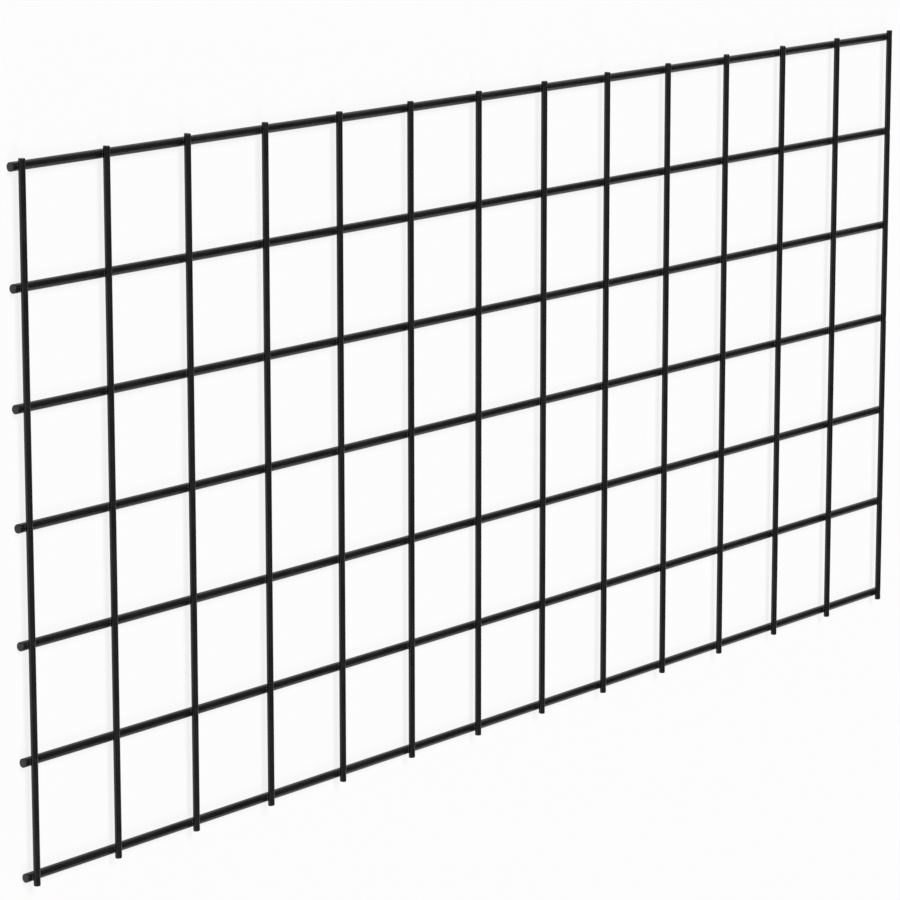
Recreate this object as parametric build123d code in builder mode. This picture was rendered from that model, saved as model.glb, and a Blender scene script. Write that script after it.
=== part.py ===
from build123d import *
import os

os.makedirs("parts", exist_ok=True)

# Welded wire mesh panel: a flat sheet of round steel wire, cut to size and coated.
# The thick long wires lie along X on the floor, the thinner cross wires lie along Y on top
# of them, and every crossing is resistance welded. The origin is on the floor, in the
# middle of the panel, and +Z points up through it.

# Driving dimensions, in millimetres
cell_pitch = 100.0           # square cells, measured from wire axis to wire axis
cells_along = 13             # cells in a row, along the long wires
cells_across = 6             # rows of cells, along the cross wires
long_wire_diameter = 8.0
cross_wire_diameter = 6.0
long_wire_stub = 8.0         # how far a long wire runs on past the last cross wire's axis
cross_wire_stub = 7.0        # how far a cross wire runs on past the last long wire's axis
weld_set_down = 1.0          # how deep the weld presses a cross wire into a long wire
broken_edge = 0.5            # the rims of the sheared wire ends are broken and coated over
wire_sides = 12              # each round wire is drawn as a regular prism

# Sizes that follow from them
long_wire_count = cells_across + 1
cross_wire_count = cells_along + 1
long_wire_length = cells_along * cell_pitch + 2 * long_wire_stub
cross_wire_length = cells_across * cell_pitch + 2 * cross_wire_stub
long_wire_axis_height = long_wire_diameter / 2
cross_wire_axis_height = long_wire_diameter + cross_wire_diameter / 2 - weld_set_down

# Turns a wire's outline so that it has a flat side underneath
flat_side_down = 270 - 180 / wire_sides

# The wires start at one end of the panel and are drawn out to the other, so each set of
# them has one sketch plane that stands across its wires, at the height of their axes.
long_wire_plane = Plane(
    origin=(-long_wire_length / 2, 0, long_wire_axis_height),
    x_dir=(0, 1, 0),
    z_dir=(1, 0, 0),
)
cross_wire_plane = Plane(
    origin=(0, cross_wire_length / 2, cross_wire_axis_height),
    x_dir=(1, 0, 0),
    z_dir=(0, -1, 0),
)


def draw_wire_outlines(diameter, wire_count):
    """Draws the outlines of a row of wires, side by side, one pitch apart."""
    with GridLocations(cell_pitch, cell_pitch, wire_count, 1):
        RegularPolygon(diameter / 2, wire_sides, major_radius=False, rotation=flat_side_down)


def break_wire_ends(axis):
    """Chamfers the rims of all the wire ends that face out of the panel along one axis."""
    faces_along_axis = faces().group_by(axis)
    end_faces = faces_along_axis[0] + faces_along_axis[-1]
    chamfer(end_faces.edges(), length=broken_edge)


# Mesh panel: the welds make one piece of all its wires
with BuildPart() as mesh_panel:
    with BuildSketch(long_wire_plane) as long_wire_outlines:
        draw_wire_outlines(long_wire_diameter, long_wire_count)
    extrude(amount=long_wire_length)
    with BuildSketch(cross_wire_plane) as cross_wire_outlines:
        draw_wire_outlines(cross_wire_diameter, cross_wire_count)
    extrude(amount=cross_wire_length)
    break_wire_ends(Axis.X)
    break_wire_ends(Axis.Y)

mesh_panel.part.label = "mesh_panel"
export_step(mesh_panel.part, "parts/mesh_panel.step")

panel_size = mesh_panel.part.bounding_box().size
print("panel", round(panel_size.X, 2), "x", round(panel_size.Y, 2), "x", round(panel_size.Z, 2), "mm")
print("solids", len(mesh_panel.part.solids()), "volume", round(mesh_panel.part.volume / 1000, 1), "cm3")
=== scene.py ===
# %% [markdown]
# # A welded wire mesh panel
#
# The object is a flat sheet of round steel wire. Thick long wires lie on the floor, thinner
# cross wires lie over them, every crossing is resistance welded, and the whole sheet carries a
# thin black coat. A row of plain cylinders would give its outline, but not what the hand and the
# eye find at a crossing: one wire pressed into the other, a small bead of squeezed-out metal
# round the contact, and a flattened spot where the electrode pushed. So the lesson works out one
# crossing as a few curved patches, repeats it with numpy at every crossing, and sews all the
# patches into one closed skin.

import bmesh
import bpy
import numpy as np
from mathutils import Matrix, Vector


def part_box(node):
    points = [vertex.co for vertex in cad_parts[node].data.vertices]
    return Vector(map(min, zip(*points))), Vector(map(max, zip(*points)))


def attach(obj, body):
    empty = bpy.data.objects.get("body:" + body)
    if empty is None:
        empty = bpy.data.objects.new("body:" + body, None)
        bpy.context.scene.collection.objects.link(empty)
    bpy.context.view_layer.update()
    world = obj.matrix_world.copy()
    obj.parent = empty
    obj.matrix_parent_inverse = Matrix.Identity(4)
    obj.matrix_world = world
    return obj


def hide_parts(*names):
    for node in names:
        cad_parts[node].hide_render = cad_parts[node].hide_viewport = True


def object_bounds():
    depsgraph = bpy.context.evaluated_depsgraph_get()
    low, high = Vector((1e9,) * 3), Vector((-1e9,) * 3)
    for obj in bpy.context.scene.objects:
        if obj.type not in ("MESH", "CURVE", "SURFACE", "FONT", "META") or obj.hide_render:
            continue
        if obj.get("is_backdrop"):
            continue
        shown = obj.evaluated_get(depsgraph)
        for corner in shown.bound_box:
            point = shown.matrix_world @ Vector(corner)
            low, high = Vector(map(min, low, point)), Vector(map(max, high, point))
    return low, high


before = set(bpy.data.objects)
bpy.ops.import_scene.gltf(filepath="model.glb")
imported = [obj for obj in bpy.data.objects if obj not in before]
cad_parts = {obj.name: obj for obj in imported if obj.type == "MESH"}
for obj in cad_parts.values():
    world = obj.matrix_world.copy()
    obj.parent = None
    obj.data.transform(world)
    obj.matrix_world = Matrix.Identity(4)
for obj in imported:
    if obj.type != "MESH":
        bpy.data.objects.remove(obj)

cad_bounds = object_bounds()
print("nodes in the frame:", sorted(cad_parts))

# %% [markdown]
# ## Sizes
#
# Mesh is described by its cell and its two wires. The rest follows from the box that the frame
# gives: what is left over at the ends is the wire stubs, and what the height lacks is how deep
# the welds pressed the wires together.

# %% The panel's sizes, in metres
CELL = 0.100
CELLS_ALONG = 13
CELLS_ACROSS = 6
LONG_RADIUS = 0.004
CROSS_RADIUS = 0.003

panel_low, panel_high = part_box("mesh_panel")
long_stub = (panel_high.x - panel_low.x - CELLS_ALONG * CELL) / 2
cross_stub = (panel_high.y - panel_low.y - CELLS_ACROSS * CELL) / 2
low_axis = panel_low.z + LONG_RADIUS
high_axis = panel_high.z - CROSS_RADIUS
axis_gap = high_axis - low_axis
weld_press = LONG_RADIUS + CROSS_RADIUS - axis_gap

column_x = (np.arange(CELLS_ALONG + 1) - CELLS_ALONG / 2) * CELL
row_y = (np.arange(CELLS_ACROSS + 1) - CELLS_ACROSS / 2) * CELL
crossing_count = column_x.size * row_y.size


def mm(length, digits=2):
    """A length in millimetres, rounded for printing."""
    return round(float(length) * 1000, digits)


print("stubs", mm(long_stub), "and", mm(cross_stub), "mm")
print("the welds press", mm(weld_press), "mm deep, at", crossing_count, "crossings")

# %% [markdown]
# ## The camera
#
# The camera stands off one short end of the sheet and looks down along it through a long lens,
# rolled on its side, so that the cross wires stand upright in the picture and the far end grows
# smaller to the right.

# %% Place the camera
CAMERA_PLACE = Vector((-3.034, 0.745, 2.345))
CAMERA_TARGET = Vector((-0.089, -0.0246, 0.007))
CAMERA_ROLL = np.radians(99.02)
CAMERA_LENS = 165.1                   # millimetres
CAMERA_SEES_TO = 200.0                # metres, well past the floor's far edge


def aim(place, target, roll):
    """Puts a thing at place, facing target with +Y upright, then rolled about its line of sight."""
    upright = (target - place).to_track_quat("-Z", "Y").to_matrix().to_4x4()
    return Matrix.Translation(place) @ upright @ Matrix.Rotation(roll, 4, "Z")


camera_data = bpy.data.cameras.new("camera")
camera_data.lens = CAMERA_LENS
camera_data.clip_end = CAMERA_SEES_TO
camera = bpy.data.objects.new("camera", camera_data)
camera.matrix_world = aim(CAMERA_PLACE, CAMERA_TARGET, CAMERA_ROLL)
bpy.context.scene.collection.objects.link(camera)
bpy.context.scene.camera = camera
bpy.context.scene.view_settings.view_transform = "Standard"
print("the camera is", round((CAMERA_PLACE - CAMERA_TARGET).length, 3), "m from the sheet")

# %% [markdown]
# ## Shader arithmetic
#
# A finish is easier to read as a formula than as a wiring plan. A Value stands for one socket,
# and adding, taking away or multiplying Values adds the Math node that does it. Every other node
# comes from one method, which sets the node's own options before its inputs. Sockets go by name,
# or by number where a node has several of the same name.

# %% Values and finishes
FIRST_COLOUR, SECOND_COLOUR, MIXED_COLOUR = 6, 7, 2    # numbers of a Mix node's colour sockets


class Value:
    """One number that varies over a surface. Arithmetic on it gives another Value."""

    def __init__(self, finish, socket):
        self.finish = finish
        self.socket = socket

    def math(self, operation, first, second):
        return self.finish.node("ShaderNodeMath", {"operation": operation}, {0: first, 1: second})

    def __add__(self, other):
        return self.math("ADD", self, other)

    def __sub__(self, other):
        return self.math("SUBTRACT", self, other)

    def __rsub__(self, other):
        return self.math("SUBTRACT", other, self)

    def __mul__(self, other):
        return self.math("MULTIPLY", self, other)

    __radd__ = __add__
    __rmul__ = __mul__


class Finish:
    """A material or a world under construction."""

    def __init__(self, owner):
        owner.use_nodes = True
        self.tree = owner.node_tree
        self.tree.nodes.clear()

    def node(self, kind, settings, inputs, output=0):
        """Adds a node, sets its options, then fills its inputs, and returns one of its outputs."""
        made = self.tree.nodes.new(kind)
        for option, choice in settings.items():
            setattr(made, option, choice)
        for name, given in inputs.items():
            if isinstance(given, Value):
                self.tree.links.new(given.socket, made.inputs[name])
            else:
                made.inputs[name].default_value = given
        return Value(self, made.outputs[output]) if made.outputs else made

    def noise(self, place, scale, detail=2.0, roughness=0.5):
        """Cloudy noise from 0 to 1, with scale cells in a metre."""
        inputs = {"Vector": place, "Scale": scale, "Detail": detail, "Roughness": roughness}
        return self.node("ShaderNodeTexNoise", {}, inputs, "Fac")

    def ramp(self, value, start, end):
        """0 below start, 1 above end, and a smooth rise between them."""
        inputs = {"Value": value, "From Min": start, "From Max": end}
        return self.node("ShaderNodeMapRange", {"interpolation_type": "SMOOTHSTEP"}, inputs)

    def blend_colours(self, share, first, second):
        """The first colour where share is 0 and the second where it is 1."""
        inputs = {"Factor": share, FIRST_COLOUR: first, SECOND_COLOUR: second}
        return self.node("ShaderNodeMix", {"data_type": "RGBA"}, inputs, MIXED_COLOUR)


# %% [markdown]
# ## Floor and light
#
# The sheet lies on a plain white studio floor. Its white is partly its own and partly shown only
# to the camera and to reflections, so the floor stays white without strong lamps, and the soft
# contact shadows under the wires are still there, only fainter.
#
# A round wire mirrors a narrow fan of directions, and black wire shows whatever is in that fan.
# Two soft suns therefore stand high on either side of the sheet, out of the fans of both sets of
# wires: they light the floor evenly and leave the wires black. They aren't low beside it, because
# there they would lie in the cross wires' fan for someone who looks along those wires. A weak one
# stands low behind the sheet, in the fan of the long wires' near flank, and draws the grey sheen
# along it.

# %% Lay the floor
FLOOR_REACH = 60.0
FLOOR_DROP = 0.00002                  # keeps the floor clear of the wires' lowest lines
WHITE = 0.980
PAPER = (WHITE, WHITE, WHITE, 1.0)
SHOWN_WHITE_SHARE = 0.86              # of the floor's white; the rest takes light and shadow
SHOWN_TO = ("Is Camera Ray", "Is Glossy Ray", "Is Transmission Ray")

floor_mesh = bpy.data.meshes.new("studio_floor")
floor_corners = [(-1, -1), (1, -1), (1, 1), (-1, 1)]
floor_points = [(x * FLOOR_REACH, y * FLOOR_REACH, -FLOOR_DROP) for x, y in floor_corners]
floor_mesh.from_pydata(floor_points, [], [range(4)])
floor = bpy.data.objects.new("studio_floor", floor_mesh)
bpy.context.scene.collection.objects.link(floor)
floor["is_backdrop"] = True

floor_material = bpy.data.materials.new("white_studio_floor")
floor_finish = Finish(floor_material)
seen = [floor_finish.node("ShaderNodeLightPath", {}, {}, ray) for ray in SHOWN_TO]
shown_share = (seen[0] + seen[1] + seen[2]) * SHOWN_WHITE_SHARE
matt_white = floor_finish.node("ShaderNodeBsdfDiffuse", {}, {"Color": PAPER})
shown_white = floor_finish.node("ShaderNodeEmission", {}, {"Color": PAPER, "Strength": 1.0})
floor_mix = {0: shown_share, 1: matt_white, 2: shown_white}    # the share, then the two surfaces
floor_surface = floor_finish.node("ShaderNodeMixShader", {}, floor_mix)
floor_finish.node("ShaderNodeOutputMaterial", {}, {"Surface": floor_surface})
floor_mesh.materials.append(floor_material)
print("the floor reaches", FLOOR_REACH, "m each way")

# %% Light the studio
WALL_TOP = 0.03                       # height of a direction, from 0, level, to 1, straight up
CEILING_START = 0.22
CEILING_LIGHT = 0.06

studio = bpy.data.worlds.new("studio")
bpy.context.scene.world = studio
studio_finish = Finish(studio)
direction = studio_finish.node("ShaderNodeTexCoord", {}, {}, "Generated")
height = studio_finish.node("ShaderNodeSeparateXYZ", {}, {"Vector": direction}, "Z")
overhead = studio_finish.ramp(height, WALL_TOP, CEILING_START)
ceiling = (CEILING_LIGHT, CEILING_LIGHT, CEILING_LIGHT, 1.0)
studio_colour = studio_finish.blend_colours(overhead, PAPER, ceiling)
studio_inputs = {"Color": studio_colour, "Strength": 1.0}
studio_light = studio_finish.node("ShaderNodeBackground", {}, studio_inputs)
studio_finish.node("ShaderNodeOutputWorld", {}, {"Surface": studio_light})


def add_soft_sun(name, toward, strength, softness):
    """A sun seen in the direction toward, softness degrees wide, so its shadows have soft edges."""
    data = bpy.data.lights.new(name, "SUN")
    data.energy = strength
    data.angle = np.radians(softness)
    lamp = bpy.data.objects.new(name, data)
    lamp.matrix_world = aim(Vector(toward), target=Vector((0, 0, 0)), roll=0.0)
    bpy.context.scene.collection.objects.link(lamp)


add_soft_sun("left_softbox", toward=(-0.20, 0.58, 0.79), strength=2.7, softness=34.0)
add_soft_sun("right_softbox", toward=(-0.20, -0.74, 0.64), strength=1.1, softness=26.0)
add_soft_sun("sheen_softbox", toward=(0.776, -0.52, 0.33), strength=0.20, softness=26.0)
lamps = [thing.name for thing in bpy.data.objects if thing.type == "LIGHT"]
print("lamps:", sorted(lamps))

# %% [markdown]
# ## Wrapping flat coordinates round a wire
#
# Every patch of a wire's skin is laid out flat first, as if the skin were peeled off: one
# coordinate runs along the wire, the other across it, measured round the skin from the line that
# faces the other wire. Wrapping then bends the flat sheet round the wire's axis. Distances along
# the skin stay true, so seams and windows can be drawn flat, where they are simple.

# %% Wrap patches round the two kinds of wire
HALF_SIDES = 12                       # sides of each wire's drawn outline, over half a turn
WIRE_SIDES = 2 * HALF_SIDES
LONG_WINDOW = 0.0055                  # half-length of the stretch of a long wire at a crossing
CROSS_WINDOW = 0.0055                 # and of a cross wire
full_turn = np.linspace(-np.pi / 2, 3 * np.pi / 2, WIRE_SIDES + 1)


def wrap_cross(across, along, sink=0.0):
    """A cross wire's skin: turn is across over the radius; x is radius * sin(turn), y is along, and
    z is the axis height - radius * cos(turn). sink makes the radius smaller."""
    turn = across / CROSS_RADIUS
    radius = CROSS_RADIUS - sink
    x, y, z = np.broadcast_arrays(radius * np.sin(turn), along, high_axis - radius * np.cos(turn))
    return np.stack([x, y, z], axis=-1)


def wrap_long(along, across, sink=0.0):
    """A long wire's skin: turn is across over the radius; x is along, y is radius * sin(turn), and
    z is the axis height + radius * cos(turn). sink makes the radius smaller."""
    turn = across / LONG_RADIUS
    radius = LONG_RADIUS - sink
    x, y, z = np.broadcast_arrays(along, radius * np.sin(turn), low_axis + radius * np.cos(turn))
    return np.stack([x, y, z], axis=-1)


print("each wire is drawn with", WIRE_SIDES, "sides")

# %% [markdown]
# ## The weld seam
#
# Under a crossing the two skins meet along an oval seam. Going out from the centre, the top of
# the long wire falls away and the underside of the cross wire rises, so in each direction there
# is one distance at which their heights agree. The formula has no neat answer, but the difference
# only ever grows with distance, so halving the interval finds it for all directions at once.

# %% Find the seam
SEAM_STEPS = 4 * HALF_SIDES           # as many as on the four sides of a window
START_BACK = np.pi / 4                # turn back from +X to a window's corner, where both start
HALVINGS = 40
SEARCH_EDGE = 0.999 * CROSS_RADIUS    # the search stops just short of the cross wire's side
heading = np.linspace(0, 2 * np.pi, SEAM_STEPS + 1) - START_BACK
east, north = np.cos(heading), np.sin(heading)


def seam_reach():
    """Distance from the centre at which sqrt(R^2 - y^2) + sqrt(r^2 - x^2) equals the gap between
    the axes, where R and r are the long and the cross wire's radius."""
    near = np.zeros_like(heading)
    far = np.full_like(heading, SEARCH_EDGE)
    for _ in range(HALVINGS):
        middle = (near + far) / 2
        long_top = np.sqrt(LONG_RADIUS**2 - (middle * north) ** 2)
        cross_bottom = np.sqrt(CROSS_RADIUS**2 - (middle * east) ** 2)
        inside = long_top + cross_bottom > axis_gap
        near = np.where(inside, middle, near)
        far = np.where(inside, far, middle)
    return (near + far) / 2


reach = seam_reach()
seam_on_cross = np.stack([CROSS_RADIUS * np.arcsin(reach * east / CROSS_RADIUS), reach * north])
seam_on_long = np.stack([reach * east, LONG_RADIUS * np.arcsin(reach * north / LONG_RADIUS)])
print("the seam reaches", mm(reach.min()), "to", mm(reach.max()), "mm from the centre")

# %% [markdown]
# ## The bead round the seam
#
# Welding squeezes a little metal out of the joint, and the coat fills what is left of the corner.
# The result is a hollow bead whose two toes lie on the two skins. It is never quite even, so each
# crossing gets its own width, with a few slow waves round it. From toe to toe the bead is a cubic
# curve that leaves each skin along the skin, which makes it look poured and not cut.

# %% Shape the beads
BEAD_WIDTH = 0.0012
BEAD_SCATTER = 0.10                   # from one crossing to the next, over the bead's width
BEAD_WAVES = 0.06                     # round one crossing, over the bead's width
BEAD_LEAST, BEAD_MOST = 0.6, 1.35     # limits of both together, over the bead's width
BEAD_HANDLE = 0.5                     # handle length of the curve, over the bead's width
BEAD_STEPS = 5
WAVE_COUNTS = np.array([2, 3, 4, 5]).reshape(1, -1, 1)    # whole waves in one round
SCATTER_SEED = 613                    # the same number gives the same sheet each run
random = np.random.default_rng(SCATTER_SEED)

bead_size = 1 + random.normal(0, BEAD_SCATTER, (crossing_count, 1))
wave_height = random.normal(0, BEAD_WAVES, (crossing_count, WAVE_COUNTS.size, 1))
wave_start = random.uniform(0, 2 * np.pi, (crossing_count, WAVE_COUNTS.size, 1))
bead_waves = (wave_height * np.sin(WAVE_COUNTS * heading + wave_start)).sum(axis=1)
bead_width = BEAD_WIDTH * np.clip(bead_size + bead_waves, BEAD_LEAST, BEAD_MOST)


def toe_line(seam):
    """The toe is the seam moved outwards on a flat skin by the bead's width. Gives the toe and the
    outward direction."""
    outward = seam / np.linalg.norm(seam, axis=0)
    return seam[:, None, :] + outward[:, None, :] * bead_width, outward


cross_toe, cross_outward = toe_line(seam_on_cross)
long_toe, long_outward = toe_line(seam_on_long)


def inward_on_cross():
    """Direction in space that runs from the toe back to the seam along the cross wire's skin."""
    turn = cross_toe[0] / CROSS_RADIUS
    x, y, z = np.broadcast_arrays(
        cross_outward[0] * np.cos(turn), cross_outward[1], cross_outward[0] * np.sin(turn)
    )
    return -np.stack([x, y, z], axis=-1)


def inward_on_long():
    """Direction in space that runs from the toe back to the seam along the long wire's skin."""
    turn = long_toe[1] / LONG_RADIUS
    x, y, z = np.broadcast_arrays(
        long_outward[0], long_outward[1] * np.cos(turn), -long_outward[1] * np.sin(turn)
    )
    return -np.stack([x, y, z], axis=-1)


def cubic_curve(start, start_handle, end_handle, end, steps):
    """Points on a cubic curve: the four points weighted by the terms of ((1 - t) + t)^3."""
    t = np.linspace(0, 1, steps + 1).reshape(1, -1, 1, 1)
    points = [p[:, None] for p in (start, start_handle, end_handle, end)]
    weights = [(1 - t) ** 3, 3 * t * (1 - t) ** 2, 3 * t**2 * (1 - t), t**3]
    return sum(weight * point for weight, point in zip(weights, points))


cross_toe_point = wrap_cross(cross_toe[0], cross_toe[1])
long_toe_point = wrap_long(long_toe[0], long_toe[1])
handle = (BEAD_HANDLE * bead_width)[..., None]
bead = cubic_curve(
    cross_toe_point,
    cross_toe_point + inward_on_cross() * handle,
    long_toe_point + inward_on_long() * handle,
    long_toe_point,
    BEAD_STEPS,
)
print("beads are", mm(bead_width.min()), "to", mm(bead_width.max()), "mm wide")

# %% [markdown]
# ## Windows in the skins
#
# Each wire's skin has an opening where the bead joins it. The skin around the opening is a patch
# between the oval toe and a rectangle that fits the wire's regular grid: half a turn one way and
# the length of the window the other way. In flat coordinates the patch is a straight blend from
# the oval to the rectangle, and wrapping puts it exactly on the wire.

# %% Join the openings to the regular grid
WINDOW_STEPS = 3


def square_edge(steps):
    """Goes once round the square from -1 to 1, counter-clockwise from its lower right corner, with
    the same number of steps on each side, and ends where it began."""
    run = np.arange(steps) / steps * 2 - 1
    one = np.ones(steps)
    x = np.concatenate([one, -run, -one, run, [1.0]])
    y = np.concatenate([run, one, -run, -one, [-1.0]])
    return np.stack([x, y])


def blend_rows(inner, outer, steps):
    """Rows of flat points from the inner line to the outer line, evenly spaced."""
    t = np.linspace(0, 1, steps + 1).reshape(1, -1, 1)
    return inner[:, None, :] * (1 - t) + outer * t


edge_x, edge_y = square_edge(HALF_SIDES)
cross_half_skin = CROSS_RADIUS * np.pi / 2
long_half_skin = LONG_RADIUS * np.pi / 2
cross_window = wrap_cross(
    blend_rows(cross_toe[0], edge_x * cross_half_skin, WINDOW_STEPS),
    blend_rows(cross_toe[1], edge_y * CROSS_WINDOW, WINDOW_STEPS),
)
long_window = wrap_long(
    blend_rows(long_toe[0], edge_x * LONG_WINDOW, WINDOW_STEPS),
    blend_rows(long_toe[1], edge_y * long_half_skin, WINDOW_STEPS),
)
print("window patches have", cross_window.shape[1], "rows of", cross_window.shape[2], "points")

# %% [markdown]
# ## Electrode marks
#
# The welding electrodes press from outside, on top of the cross wire and under the long wire, and
# leave a shallow flat spot on each. It is drawn on the half of the skin that faces away from the
# weld. The skin sinks most in the middle and not at all at the patch's edges, so it still meets
# its neighbours.

# %% Press the marks into the outer halves
SHALLOW_MARK, DEEP_MARK = 0.00008, 0.000224
FADE_ALONG, FADE_ROUND = 3, 2         # powers: the higher, the closer a mark keeps to its middle

mark_depth = random.uniform(SHALLOW_MARK, DEEP_MARK, (2, crossing_count, 1, 1))
away_turn = np.linspace(np.pi / 2, 3 * np.pi / 2, HALF_SIDES + 1).reshape(1, -1, 1)
window_run = np.linspace(-1, 1, HALF_SIDES + 1).reshape(1, 1, -1)
mark_shape = (1 - window_run**2) ** FADE_ALONG * np.clip(-np.cos(away_turn), 0, 1) ** FADE_ROUND

cross_sink, long_sink = mark_depth * mark_shape
cross_back = wrap_cross(away_turn * CROSS_RADIUS, window_run * CROSS_WINDOW, cross_sink)
long_back = wrap_long(window_run * LONG_WINDOW, away_turn * LONG_RADIUS, long_sink)
print("marks are up to", mm(mark_depth.max(), digits=3), "mm deep")

# %% [markdown]
# ## Plain wire and cut ends
#
# Between crossings a wire is plain and straight, so one long strip a side is enough. A wire end
# is sheared from above and below: its section is squeezed a little, the cut is nearly flat but
# never quite square to the wire, and its rim is softened by the coat. It is a small profile of
# rings, out along the wire, round the rim and in to the centre.

# %% Draw the wire between crossings
span_ends = np.array([0.0, 1.0]).reshape(1, -1, 1)


def spans(stations, window):
    """Start and end of the plain stretch between each pair of neighbouring crossings."""
    first = stations[:-1].reshape(-1, 1, 1) + window
    last = stations[1:].reshape(-1, 1, 1) - window
    return first * (1 - span_ends) + last * span_ends


cross_spans = wrap_cross(full_turn * CROSS_RADIUS, spans(row_y, CROSS_WINDOW))
long_spans = wrap_long(spans(column_x, LONG_WINDOW), full_turn * LONG_RADIUS)
print("a cross wire has", len(cross_spans), "plain stretches and a long wire", len(long_spans))

# %% Draw the cut ends
RIM_SOFTNESS = 0.00045                # radius of the rounded rim
RIM_TURN = np.radians([30, 60, 90])   # where its rings are
PINCH = 0.05                          # how much the shear squeezed the section, over its radius
FACE_RINGS = np.array([0.72, 0.36, 0.0])    # over the cut face's radius
FACE_CROWN = 0.00012                  # how far the middle of the face stands out
CUT_SLOPE = 0.07                      # how far out of square a cut may be, as a slope
LENGTH_SCATTER = 0.00025              # how much longer or shorter an end may be


def end_profile(radius, window, stub):
    """Distance out along the wire, and share of the radius, for each ring of a cut end."""
    softness = RIM_SOFTNESS / radius
    rim_out = stub - RIM_SOFTNESS * (1 - np.sin(RIM_TURN))
    rim_share = 1 - softness * (1 - np.cos(RIM_TURN))
    face_out = stub + FACE_CROWN * (1 - FACE_RINGS**2)
    face_share = FACE_RINGS * rim_share[-1]
    out = np.concatenate([[window, stub - RIM_SOFTNESS], rim_out, face_out])
    share = np.concatenate([[1.0, 1.0], rim_share, face_share])
    return out.reshape(1, -1, 1), share.reshape(1, -1, 1)


def cut_ends(count, radius, window, stub):
    """Rings of many cut ends at once. Each end has its own length and its own slope of cut, which
    tilts every ring but the first by its place on the wire's section. The squeeze lowers the skin
    above and below the axis by PINCH * radius * cos(turn)^2."""
    out, share = end_profile(radius, window, stub)
    lean = random.uniform(-CUT_SLOPE, CUT_SLOPE, (2, count, 1, 1))
    scatter = random.uniform(-LENGTH_SCATTER, LENGTH_SCATTER, (count, 1, 1))
    tilt = share * radius * (lean[0] * np.sin(full_turn) + lean[1] * np.cos(full_turn))
    beyond_window = np.arange(out.shape[1]).reshape(1, -1, 1) > 0
    squeeze = beyond_window * share * PINCH * radius * np.cos(full_turn) ** 2
    return out + beyond_window * (scatter + tilt), (1 - share) * radius + squeeze


cross_out, cross_inset = cut_ends(2 * column_x.size, CROSS_RADIUS, CROSS_WINDOW, cross_stub)
long_out, long_inset = cut_ends(2 * row_y.size, LONG_RADIUS, LONG_WINDOW, long_stub)
print("an end has", cross_out.shape[1], "rings")
print("the cross wires' cuts are within", mm(np.ptp(cross_out[:, -1])), "mm of each other")

# %% [markdown]
# ## Repeat and place the patches
#
# Every patch so far is drawn about one crossing or one wire. Adding the crossings' places to the
# arrays repeats it over the whole sheet in one step.

# %% Place every patch
crossing_x, crossing_y = np.meshgrid(column_x, row_y, indexing="ij")
no_lift = np.zeros(crossing_count)
crossing_place = np.stack([crossing_x.ravel(), crossing_y.ravel(), no_lift], axis=-1)


def shifted(patches, x=0.0, y=0.0):
    """Moves patches by whole arrays of places along X and Y."""
    dx, dy, dz = np.broadcast_arrays(x, y, 0.0)
    return patches + np.stack([dx, dy, dz], axis=-1)


at_crossings = crossing_place[:, None, None, :]
along_columns = column_x.reshape(-1, 1, 1, 1)
along_rows = row_y.reshape(-1, 1, 1, 1)
end_side = np.array([-1.0, 1.0]).reshape(1, 2, 1, 1)

cross_end_out = cross_out.reshape(column_x.size, 2, *cross_out.shape[1:])
long_end_out = long_out.reshape(row_y.size, 2, *long_out.shape[1:])
placed = [
    bead + at_crossings,
    cross_window + at_crossings,
    long_window + at_crossings,
    cross_back + at_crossings,
    long_back + at_crossings,
    shifted(cross_spans[None], x=along_columns),
    shifted(long_spans[None], y=along_rows),
    shifted(
        wrap_cross(full_turn * CROSS_RADIUS, end_side * (row_y[-1] + cross_end_out), cross_inset),
        x=along_columns,
    ),
    shifted(
        wrap_long(end_side * (column_x[-1] + long_end_out), full_turn * LONG_RADIUS, long_inset),
        y=along_rows,
    ),
]
print("patches:", [tuple(patch.shape[:-1]) for patch in placed])

# %% [markdown]
# ## Sew the skin together
#
# All patches are grids of points, so one rule numbers their quads. Neighbouring patches have the
# same points along their shared edges, and merging those turns thousands of patches into one
# closed skin. Two counts are printed for it: the open edges, which should be none, and the
# volume, which should be close to the volume of the steel.

# %% Sew
SEWING_REACH = 2e-6                   # points nearer than this are one point
CM3_IN_M3 = 1e6


def grid_quads(count, rows, columns, first):
    """Corner numbers of every quad in count grids, whose rows by columns points go row by row."""
    grid = np.arange(count).reshape(-1, 1, 1) * rows * columns
    row = np.arange(rows - 1).reshape(1, -1, 1) * columns
    corner = first + grid + row + np.arange(columns - 1)
    quads = np.stack([corner, corner + 1, corner + columns + 1, corner + columns], axis=-1)
    return quads.reshape(-1, 4)


def sew(name, patches):
    """Makes one mesh of all the patches, merges their shared edges and turns its faces outwards."""
    points, quads, first = [], [], 0
    for patch in patches:
        rows, columns = patch.shape[-3:-1]
        flat = patch.reshape(-1, 3)
        quads.append(grid_quads(len(flat) // (rows * columns), rows, columns, first))
        points.append(flat)
        first += len(flat)
    mesh = bpy.data.meshes.new(name)
    mesh.from_pydata(np.concatenate(points), [], np.concatenate(quads))
    skin = bmesh.new()
    skin.from_mesh(mesh)
    bmesh.ops.remove_doubles(skin, verts=skin.verts, dist=SEWING_REACH)
    bmesh.ops.recalc_face_normals(skin, faces=skin.faces)
    open_edges = sum(not edge.is_manifold for edge in skin.edges)
    volume = skin.calc_volume()
    skin.to_mesh(mesh)
    skin.free()
    mesh.shade_smooth()
    triangles = sum(len(face.vertices) - 2 for face in mesh.polygons)
    print(name, "has", triangles, "triangles and", open_edges, "open edges")
    print("its volume is", round(volume * CM3_IN_M3, 1), "cm3")
    return mesh


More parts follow.
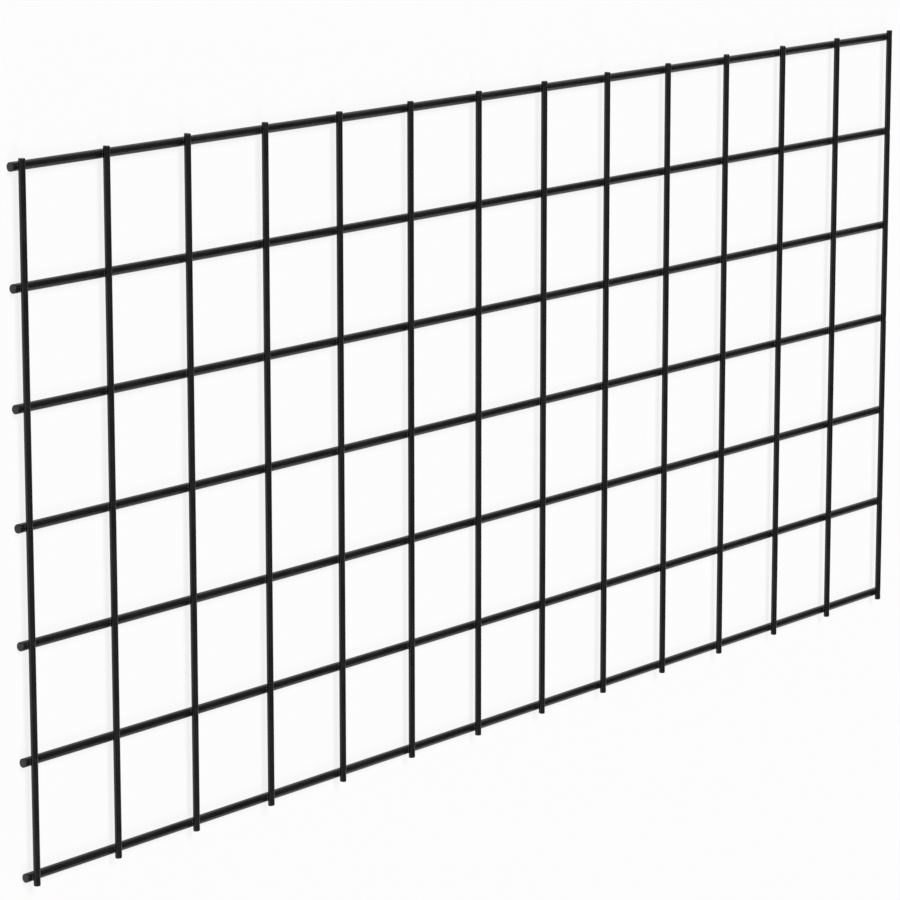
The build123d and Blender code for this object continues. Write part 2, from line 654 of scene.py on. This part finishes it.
panel_mesh = sew("welded_wire_mesh", placed)
panel = bpy.data.objects.new("welded_wire_mesh", panel_mesh)
bpy.context.scene.collection.objects.link(panel)
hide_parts("mesh_panel")
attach(panel, "root")

# %% [markdown]
# ## What the finish needs to know about a point
#
# Wet or melted coat gathers in corners and draws back from sheared rims. Both places can be worked
# out from the points themselves: how near a point is to the middle of the nearest weld, and how
# far it is past the start of its wire's rim. Drawn wire also has very fine lines along its length.
# They run along X on the one set of wires and along Y on the other, so each point stores its
# place about its own wire: a shrunken distance along it, and its two offsets from its axis.

# %% Measure every point
POOL_NEAR = 0.0030                    # from the weld's middle: full of coat up to here
POOL_FAR = 0.0058                     # and no more than elsewhere from here on
RIM_START = 0.0004                    # before the wire's end
LINE_STRETCH = 0.015                  # shrinks the distance along a wire, which makes long lines
WIRE_JUMP = 7.0                       # metres between the line patterns of two neighbouring wires

points = np.empty(len(panel_mesh.vertices) * 3)
panel_mesh.vertices.foreach_get("co", points)
x, y, z = points.reshape(-1, 3).T


def gap_to_nearest(values, stations):
    """Signed distance of each value from the nearest of evenly spaced stations."""
    step = np.clip(np.round((values - stations[0]) / CELL), 0, stations.size - 1)
    return values - (stations[0] + step * CELL)


from_column, from_row = gap_to_nearest(x, column_x), gap_to_nearest(y, row_y)
above_low, above_high = z - low_axis, z - high_axis

weld_height = (low_axis + LONG_RADIUS + high_axis - CROSS_RADIUS) / 2    # where the wires overlap
from_weld = np.sqrt(from_column**2 + from_row**2 + (z - weld_height) ** 2)
pooled = np.clip((POOL_FAR - from_weld) / (POOL_FAR - POOL_NEAR), 0, 1)

past_long_rim = np.abs(x) - (column_x[-1] + long_stub - RIM_START)
past_cross_rim = np.abs(y) - (row_y[-1] + cross_stub - RIM_START)
thinned = np.clip(np.maximum(past_long_rim, past_cross_rim) / RIM_START, 0, 1)

off_long_skin = np.abs(np.hypot(from_row, above_low) - LONG_RADIUS)
off_cross_skin = np.abs(np.hypot(from_column, above_high) - CROSS_RADIUS)
on_long = off_long_skin < off_cross_skin
along_long = x + WIRE_JUMP * np.round(y / CELL)
along_cross = y + WIRE_JUMP * np.round(x / CELL)
along_wire = np.where(on_long, along_long, along_cross) * LINE_STRETCH
beside_axis = np.where(on_long, from_row, from_column)
above_axis = np.where(on_long, above_low, above_high)
print("points on long wires:", int(on_long.sum()), " on cross wires:", int((~on_long).sum()))


# %% Store the measures on the mesh
def store(mesh, name, *measures):
    """Stores one number, or three numbers as a vector, for each point of the mesh."""
    kind, slot = ("FLOAT", "value") if len(measures) == 1 else ("FLOAT_VECTOR", "vector")
    layer = mesh.attributes.new(name, kind, "POINT")
    layer.data.foreach_set(slot, np.stack(measures, axis=-1).astype(np.float32).ravel())


store(panel_mesh, "pooled", pooled)
store(panel_mesh, "thinned", thinned)
store(panel_mesh, "wire_place", along_wire, beside_axis, above_axis)
print("points near a weld:", int((pooled > 0).sum()), " at a cut end:", int((thinned > 0).sum()))

# %% [markdown]
# ## The black coat
#
# The coat is a satin black, and it isn't the same all over. The film is a little thicker here and
# thinner there. Close up it has an orange-peel ripple about a millimetre across, the draw lines of
# the wire show faintly through it, and a few specks of dust sit in it. A cut end is torn by the
# shear, and the coat over it stays grainy. The tops of the cross wires, which carry the next sheet
# of a stack, are rubbed in patches. Each of these is a pattern from 0 to 1, laid out here once, so
# that the colour, the gloss and the ripple can share it.

# %% Lay out the coat's patterns
FILM_SCALE = 45.0                     # every scale is in cells in a metre
PEEL_SCALE = 800.0
LINE_SCALE = 2600.0
SPECK_SCALE = 1500.0
SPECK_EDGE, SPECK_MIDDLE = 0.78, 0.90    # the noise where a speck starts and where it is full
TEAR_SCALE = 1600.0
TEAR_EDGE, TEAR_MIDDLE = 0.38, 0.62
RUB_SCALE = 135.0
RUB_EDGE, RUB_MIDDLE = 0.50, 0.68
RUB_REACH, RUB_FULL = 0.00055, 0.00010    # down from the sheet's highest line

coat_material = bpy.data.materials.new("satin_black_coat")
coat = Finish(coat_material)
place = coat.node("ShaderNodeTexCoord", {}, {}, "Object")
wire_place = coat.node("ShaderNodeAttribute", {"attribute_name": "wire_place"}, {}, "Vector")
pool = coat.node("ShaderNodeAttribute", {"attribute_name": "pooled"}, {}, "Fac")
sheared = coat.node("ShaderNodeAttribute", {"attribute_name": "thinned"}, {}, "Fac")

thinness = coat.noise(place, FILM_SCALE, detail=3.0)
peel = coat.noise(place, PEEL_SCALE, detail=2.0, roughness=0.45)
lines = coat.noise(wire_place, LINE_SCALE, detail=2.0, roughness=0.6)
speck = coat.ramp(coat.noise(place, SPECK_SCALE, detail=0.0), SPECK_EDGE, SPECK_MIDDLE)
tear_grain = coat.noise(place, TEAR_SCALE, detail=3.0, roughness=0.65)
torn = coat.ramp(tear_grain, TEAR_EDGE, TEAR_MIDDLE) * sheared
rub_clouds = coat.noise(place, RUB_SCALE, detail=4.0, roughness=0.65)
rub_patches = coat.ramp(rub_clouds, RUB_EDGE, RUB_MIDDLE)
height_on_sheet = coat.node("ShaderNodeSeparateXYZ", {}, {"Vector": place}, "Z")
on_top = coat.ramp(height_on_sheet, panel_high.z - RUB_REACH, panel_high.z - RUB_FULL)
rubbed = on_top * rub_patches
print("the patterns use", len(coat.tree.nodes), "nodes")

# %% [markdown]
# ### Its colour
#
# A thin film, a draw line and a rubbed patch all lighten the black, but only from one near-black
# to another. Where the coat drew back over a sheared end, some grey steel shows through it, most
# of all on the torn grains. Dust is paler, and there is none in the corners, where the coat ran
# together.

# %% Mix the colour
DEEP_BLACK = (0.0035, 0.0035, 0.0037, 1.0)
WORN_BLACK = (0.0085, 0.0085, 0.0088, 1.0)
SHEARED_GREY = (0.0240, 0.0240, 0.0250, 1.0)
DUST_GREY = (0.0600, 0.0580, 0.0550, 1.0)
FULL_FILM, POOR_FILM = 0.30, 0.70     # where the film counts as thick and as thin
LIGHTER_BY_FILM, LIGHTER_BY_LINES, LIGHTER_BY_RUBBING = 0.6, 0.3, 0.5
GREY_ON_CUTS, GREYER_ON_TEARS = 0.4, 0.6
DUST_SHARE = 0.4

poor_film = coat.ramp(thinness, FULL_FILM, POOR_FILM)
tone = poor_film * LIGHTER_BY_FILM + lines * LIGHTER_BY_LINES + rubbed * LIGHTER_BY_RUBBING
black = coat.blend_colours(tone, DEEP_BLACK, WORN_BLACK)
bare_share = sheared * GREY_ON_CUTS + torn * GREYER_ON_TEARS
black_and_grey = coat.blend_colours(bare_share, black, SHEARED_GREY)
dust = speck * (1 - pool) * DUST_SHARE
coat_colour = coat.blend_colours(dust, black_and_grey, DUST_GREY)
print("the black reflects from", DEEP_BLACK[0], "to", WORN_BLACK[0], "of the light")

# %% [markdown]
# ### Its gloss and its ripple
#
# The coat is smoothest where it pooled in the corners and where it was rubbed, and dullest over a
# sheared end and on dust. The ripple and the torn grain are far too fine to model, so a bump map
# tilts the light on them. The ripple fades in the corners, where the coat ran together.

# %% Work out the roughness
SATIN = 0.27
ROUGHER_BY_FILM, ROUGHER_BY_LINES = 0.10, 0.08
ROUGHER_AT_ENDS, ROUGHER_BY_DUST = 0.12, 0.15
SMOOTHER_IN_CORNERS, SMOOTHER_BY_RUBBING = 0.08, 0.10

rougher_all_over = thinness * ROUGHER_BY_FILM + lines * ROUGHER_BY_LINES
rougher_here_and_there = sheared * ROUGHER_AT_ENDS + speck * ROUGHER_BY_DUST
smoother = pool * SMOOTHER_IN_CORNERS + rubbed * SMOOTHER_BY_RUBBING
coat_roughness = rougher_all_over + rougher_here_and_there - smoother + SATIN
print("the plain coat's roughness is", SATIN, "to", SATIN + ROUGHER_BY_FILM + ROUGHER_BY_LINES)

# %% Raise the ripple
RIPPLE_HEIGHT = 0.00004
LINE_HEIGHT, SPECK_HEIGHT, TEAR_HEIGHT = 0.35, 0.5, 1.2    # over the height of the orange peel
FADE_IN_CORNERS = 0.7

film_height = (peel + lines * LINE_HEIGHT + speck * SPECK_HEIGHT) * (1 - pool * FADE_IN_CORNERS)
skin_height = film_height + torn * TEAR_HEIGHT
ripple_inputs = {"Strength": 1.0, "Distance": RIPPLE_HEIGHT, "Height": skin_height}
ripple = coat.node("ShaderNodeBump", {}, ripple_inputs)
print("the orange peel is", mm(RIPPLE_HEIGHT), "mm high")

# %% Put the coat on the panel
COAT_SHINE = 0.42

coat_inputs = {
    "Base Color": coat_colour,
    "Roughness": coat_roughness,
    "Specular IOR Level": COAT_SHINE,
    "Normal": ripple,
}
surface = coat.node("ShaderNodeBsdfPrincipled", {}, coat_inputs)
coat.node("ShaderNodeOutputMaterial", {}, {"Surface": surface})
panel_mesh.materials.append(coat_material)
print("the coat uses", len(coat.tree.nodes), "nodes")

# %% [markdown]
# ## The finished size
#
# The frame's box and the finished panel's box are set side by side, and the largest change of a
# corner is printed, so that anyone can see that the dressed sheet is as large as the model it
# stands for.

# %% Set the two boxes side by side
dressed_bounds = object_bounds()
size_rows = {
    "cad": [list(corner) for corner in cad_bounds],
    "visual": [list(corner) for corner in dressed_bounds],
}
corner_change = np.abs(np.array(size_rows["visual"]) - np.array(size_rows["cad"])).max()
print("largest change of a corner:", mm(corner_change), "mm")
